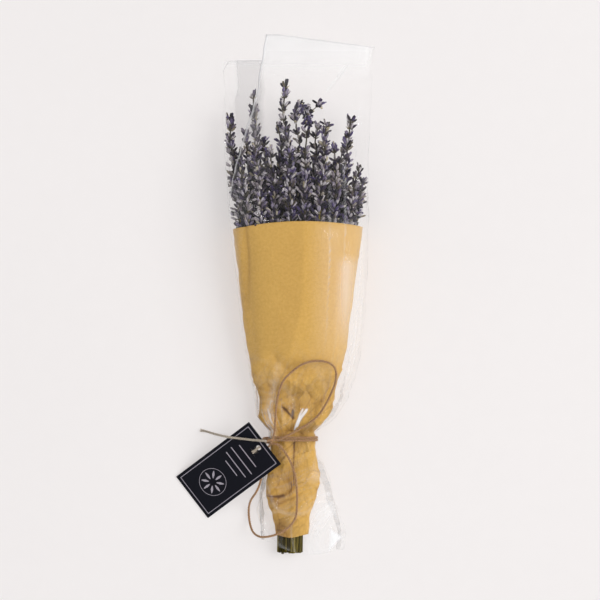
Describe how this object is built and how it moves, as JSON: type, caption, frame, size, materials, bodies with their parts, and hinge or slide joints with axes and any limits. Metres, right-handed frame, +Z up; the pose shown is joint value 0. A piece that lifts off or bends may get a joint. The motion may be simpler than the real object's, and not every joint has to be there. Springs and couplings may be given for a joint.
{
  "type": "bunch of dried lavender",
  "caption": "Bunch of dried lavender laid flat, wrapped in kraft paper and a clear film sleeve, tied with jute twine in a bow that holds a plain swing tag.",
  "frame": {"origin": "on the surface, under the middle of the bunch and its sleeve", "axes": "+Y along the bunch to the flower tips, +X to the right seen from above, +Z up"},
  "size_m": [0.1915, 0.494, 0.0625],
  "materials": {
    "stem": "dry, matt, ridged",
    "flower": "dry, matt, downy",
    "kraft_paper": "matt, creased",
    "clear_film": "clear, glossy, crinkled",
    "jute": "plied, hairy, matt",
    "tag_card": "smooth, matt"
  },
  "bodies": {
    "root": {"stem_01": "stem", "stem_02": "stem", "stem_03": "stem", "stem_04": "stem", "stem_05": "stem", "stem_06": "stem", "stem_07": "stem", "stem_08": "stem", "stem_09": "stem", "stem_10": "stem", "stem_11": "stem", "stem_12": "stem", "stem_13": "stem", "stem_14": "stem", "stem_15": "stem", "stem_16": "stem", "stem_17": "stem", "stem_18": "stem", "stem_19": "stem", "stem_20": "stem", "stem_21": "stem", "stem_22": "stem", "stem_23": "stem", "stem_24": "stem", "stem_25": "stem", "spike_01": "flower", "spike_02": "flower", "spike_03": "flower", "spike_04": "flower", "spike_05": "flower", "spike_06": "flower", "spike_07": "flower", "spike_08": "flower", "spike_09": "flower", "spike_10": "flower", "spike_11": "flower", "spike_12": "flower", "spike_13": "flower", "spike_14": "flower", "spike_15": "flower", "spike_16": "flower", "spike_17": "flower", "spike_18": "flower", "spike_19": "flower", "spike_20": "flower", "spike_21": "flower", "spike_22": "flower", "spike_23": "flower", "spike_24": "flower", "spike_25": "flower", "paper_wrap": "kraft_paper", "film_sleeve": "clear_film", "twine_binding": "jute", "twine_knot": "jute", "twine_loop_upper": "jute", "twine_loop_lower": "jute", "twine_tail_left": "jute", "twine_tail_short": "jute", "tag": "tag_card"}
  },
  "joints": []
}
